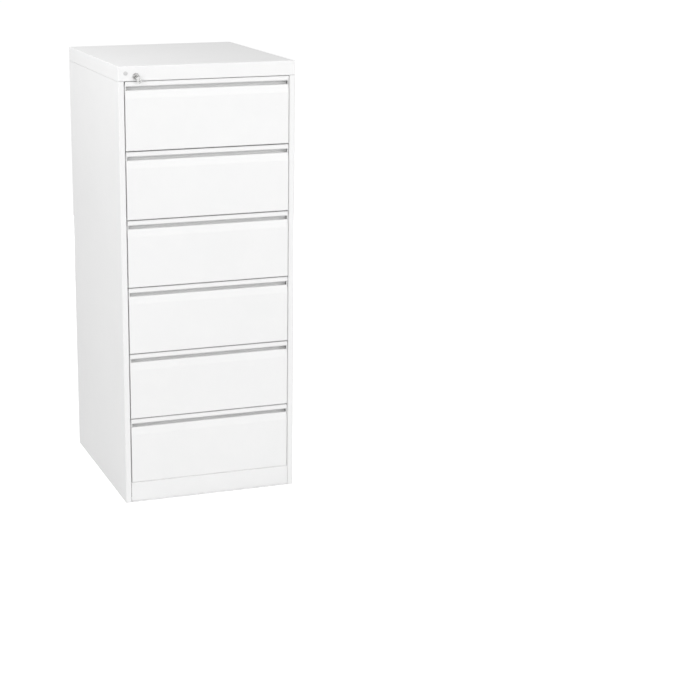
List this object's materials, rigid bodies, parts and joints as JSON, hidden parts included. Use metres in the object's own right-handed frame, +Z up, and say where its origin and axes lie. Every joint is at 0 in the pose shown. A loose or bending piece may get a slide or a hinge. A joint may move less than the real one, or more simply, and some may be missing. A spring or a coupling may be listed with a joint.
{
  "type": "card index cabinet",
  "caption": "Tall steel card index cabinet with stacked two-row drawers on telescopic slides, full-width finger pulls, top lock and anti-tilt bar.",
  "frame": {"origin": "centre of the footprint on the floor", "axes": "+Z up, +Y towards the back, +X to the right as seen from the front"},
  "size_m": [0.538, 0.6329, 1.321],
  "materials": {
    "white_powder_coat": "fine orange-peel powder coat, semi-matt",
    "zinc_plated_steel": "bright zinc plate",
    "lock_nickel": "satin nickel",
    "key_steel": "tumbled nickel-plated steel",
    "plug_plastic": "fine matt",
    "latch_plastic": "moulded, satin",
    "foot_plastic": "moulded, matt"
  },
  "bodies": {
    "cabinet": {"left_side_panel": "white_powder_coat", "right_side_panel": "white_powder_coat", "back_panel": "white_powder_coat", "top_cap": "white_powder_coat", "kick_plate": "white_powder_coat", "base_pan": "white_powder_coat", "uprights": "zinc_plated_steel", "outer_slide_members": "zinc_plated_steel", "levelling_feet": "foot_plastic", "panel_screws": "zinc_plated_steel", "lock_housing": "lock_nickel", "blanking_plug": "plug_plastic"},
    "drawer_1": {"drawer_1_front": "white_powder_coat", "drawer_1_tray": "white_powder_coat", "drawer_1_divider": "white_powder_coat", "drawer_1_inner_slides": "zinc_plated_steel"},
    "drawer_1_mid_slides": {"drawer_1_intermediate_slides": "zinc_plated_steel"},
    "drawer_1_left_follower_body": {"drawer_1_left_follower": "white_powder_coat"},
    "drawer_1_right_follower_body": {"drawer_1_right_follower": "white_powder_coat"},
    "drawer_2": {"drawer_2_front": "white_powder_coat", "drawer_2_tray": "white_powder_coat", "drawer_2_divider": "white_powder_coat", "drawer_2_inner_slides": "zinc_plated_steel"},
    "drawer_2_mid_slides": {"drawer_2_intermediate_slides": "zinc_plated_steel"},
    "drawer_2_left_follower_body": {"drawer_2_left_follower": "white_powder_coat"},
    "drawer_2_right_follower_body": {"drawer_2_right_follower": "white_powder_coat"},
    "drawer_3": {"drawer_3_front": "white_powder_coat", "drawer_3_tray": "white_powder_coat", "drawer_3_divider": "white_powder_coat", "drawer_3_inner_slides": "zinc_plated_steel"},
    "drawer_3_mid_slides": {"drawer_3_intermediate_slides": "zinc_plated_steel"},
    "drawer_3_left_follower_body": {"drawer_3_left_follower": "white_powder_coat"},
    "drawer_3_right_follower_body": {"drawer_3_right_follower": "white_powder_coat"},
    "drawer_4": {"drawer_4_front": "white_powder_coat", "drawer_4_tray": "white_powder_coat", "drawer_4_divider": "white_powder_coat", "drawer_4_inner_slides": "zinc_plated_steel"},
    "drawer_4_mid_slides": {"drawer_4_intermediate_slides": "zinc_plated_steel"},
    "drawer_4_left_follower_body": {"drawer_4_left_follower": "white_powder_coat"},
    "drawer_4_right_follower_body": {"drawer_4_right_follower": "white_powder_coat"},
    "drawer_5": {"drawer_5_front": "white_powder_coat", "drawer_5_tray": "white_powder_coat", "drawer_5_divider": "white_powder_coat", "drawer_5_inner_slides": "zinc_plated_steel"},
    "drawer_5_mid_slides": {"drawer_5_intermediate_slides": "zinc_plated_steel"},
    "drawer_5_left_follower_body": {"drawer_5_left_follower": "white_powder_coat"},
    "drawer_5_right_follower_body": {"drawer_5_right_follower": "white_powder_coat"},
    "drawer_6": {"drawer_6_front": "white_powder_coat", "drawer_6_tray": "white_powder_coat", "drawer_6_divider": "white_powder_coat", "drawer_6_inner_slides": "zinc_plated_steel"},
    "drawer_6_mid_slides": {"drawer_6_intermediate_slides": "zinc_plated_steel"},
    "drawer_6_left_follower_body": {"drawer_6_left_follower": "white_powder_coat"},
    "drawer_6_right_follower_body": {"drawer_6_right_follower": "white_powder_coat"},
    "lock_bar": {"lock_bar": "zinc_plated_steel", "lock_catches": "zinc_plated_steel"},
    "interlock_bar": {"interlock_bar": "zinc_plated_steel", "interlock_latches": "latch_plastic"},
    "lock_plug": {"lock_plug": "lock_nickel"},
    "key_bow": {"key_bow": "key_steel"}
  },
  "joints": [
    {"name": "drawer_1_slide", "type": "slide", "parent": "cabinet", "child": "drawer_1", "axis": [0, -1, 0], "range_m": [0, 0.5]},
    {"name": "drawer_1_mid_slide", "type": "slide", "parent": "cabinet", "child": "drawer_1_mid_slides", "axis": [0, -1, 0], "range_m": [0, 0.25]},
    {"name": "drawer_1_left_follower_slide", "type": "slide", "parent": "drawer_1", "child": "drawer_1_left_follower_body", "axis": [0, -1, 0], "range_m": [0, 0.44]},
    {"name": "drawer_1_right_follower_slide", "type": "slide", "parent": "drawer_1", "child": "drawer_1_right_follower_body", "axis": [0, -1, 0], "range_m": [0, 0.44]},
    {"name": "drawer_2_slide", "type": "slide", "parent": "cabinet", "child": "drawer_2", "axis": [0, -1, 0], "range_m": [0, 0.5]},
    {"name": "drawer_2_mid_slide", "type": "slide", "parent": "cabinet", "child": "drawer_2_mid_slides", "axis": [0, -1, 0], "range_m": [0, 0.25]},
    {"name": "drawer_2_left_follower_slide", "type": "slide", "parent": "drawer_2", "child": "drawer_2_left_follower_body", "axis": [0, -1, 0], "range_m": [0, 0.44]},
    {"name": "drawer_2_right_follower_slide", "type": "slide", "parent": "drawer_2", "child": "drawer_2_right_follower_body", "axis": [0, -1, 0], "range_m": [0, 0.44]},
    {"name": "drawer_3_slide", "type": "slide", "parent": "cabinet", "child": "drawer_3", "axis": [0, -1, 0], "range_m": [0, 0.5]},
    {"name": "drawer_3_mid_slide", "type": "slide", "parent": "cabinet", "child": "drawer_3_mid_slides", "axis": [0, -1, 0], "range_m": [0, 0.25]},
    {"name": "drawer_3_left_follower_slide", "type": "slide", "parent": "drawer_3", "child": "drawer_3_left_follower_body", "axis": [0, -1, 0], "range_m": [0, 0.44]},
    {"name": "drawer_3_right_follower_slide", "type": "slide", "parent": "drawer_3", "child": "drawer_3_right_follower_body", "axis": [0, -1, 0], "range_m": [0, 0.44]},
    {"name": "drawer_4_slide", "type": "slide", "parent": "cabinet", "child": "drawer_4", "axis": [0, -1, 0], "range_m": [0, 0.5]},
    {"name": "drawer_4_mid_slide", "type": "slide", "parent": "cabinet", "child": "drawer_4_mid_slides", "axis": [0, -1, 0], "range_m": [0, 0.25]},
    {"name": "drawer_4_left_follower_slide", "type": "slide", "parent": "drawer_4", "child": "drawer_4_left_follower_body", "axis": [0, -1, 0], "range_m": [0, 0.44]},
    {"name": "drawer_4_right_follower_slide", "type": "slide", "parent": "drawer_4", "child": "drawer_4_right_follower_body", "axis": [0, -1, 0], "range_m": [0, 0.44]},
    {"name": "drawer_5_slide", "type": "slide", "parent": "cabinet", "child": "drawer_5", "axis": [0, -1, 0], "range_m": [0, 0.5]},
    {"name": "drawer_5_mid_slide", "type": "slide", "parent": "cabinet", "child": "drawer_5_mid_slides", "axis": [0, -1, 0], "range_m": [0, 0.25]},
    {"name": "drawer_5_left_follower_slide", "type": "slide", "parent": "drawer_5", "child": "drawer_5_left_follower_body", "axis": [0, -1, 0], "range_m": [0, 0.44]},
    {"name": "drawer_5_right_follower_slide", "type": "slide", "parent": "drawer_5", "child": "drawer_5_right_follower_body", "axis": [0, -1, 0], "range_m": [0, 0.44]},
    {"name": "drawer_6_slide", "type": "slide", "parent": "cabinet", "child": "drawer_6", "axis": [0, -1, 0], "range_m": [0, 0.5]},
    {"name": "drawer_6_mid_slide", "type": "slide", "parent": "cabinet", "child": "drawer_6_mid_slides", "axis": [0, -1, 0], "range_m": [0, 0.25]},
    {"name": "drawer_6_left_follower_slide", "type": "slide", "parent": "drawer_6", "child": "drawer_6_left_follower_body", "axis": [0, -1, 0], "range_m": [0, 0.44]},
    {"name": "drawer_6_right_follower_slide", "type": "slide", "parent": "drawer_6", "child": "drawer_6_right_follower_body", "axis": [0, -1, 0], "range_m": [0, 0.44]},
    {"name": "lock_bar_lift", "type": "slide", "parent": "cabinet", "child": "lock_bar", "axis": [0, 0, 1], "range_m": [0, 0.012]},
    {"name": "lock_plug_turn", "type": "hinge", "parent": "cabinet", "child": "lock_plug", "pos_m": [-0.2165, -0.3125, 1.2915], "axis": [0, 1, 0], "range_deg": [0, 90]},
    {"name": "key_bow_fold", "type": "hinge", "parent": "lock_plug", "child": "key_bow", "pos_m": [-0.2165, -0.32, 1.2915], "axis": [-0.8387, 0, -0.5446], "range_deg": [0, 90]},
    {"name": "interlock_bar_lift", "type": "slide", "parent": "cabinet", "child": "interlock_bar", "axis": [0, 0, 1], "range_m": [0, 0.008]}
  ],
  "couplings": [
    {"joint": "drawer_1_mid_slide", "follows": "drawer_1_slide", "ratio": 0.5},
    {"joint": "drawer_2_mid_slide", "follows": "drawer_2_slide", "ratio": 0.5},
    {"joint": "drawer_3_mid_slide", "follows": "drawer_3_slide", "ratio": 0.5},
    {"joint": "drawer_4_mid_slide", "follows": "drawer_4_slide", "ratio": 0.5},
    {"joint": "drawer_5_mid_slide", "follows": "drawer_5_slide", "ratio": 0.5},
    {"joint": "drawer_6_mid_slide", "follows": "drawer_6_slide", "ratio": 0.5},
    {"joint": "lock_plug_turn", "follows": "lock_bar_lift", "rad_per_m": 130.89}
  ]
}
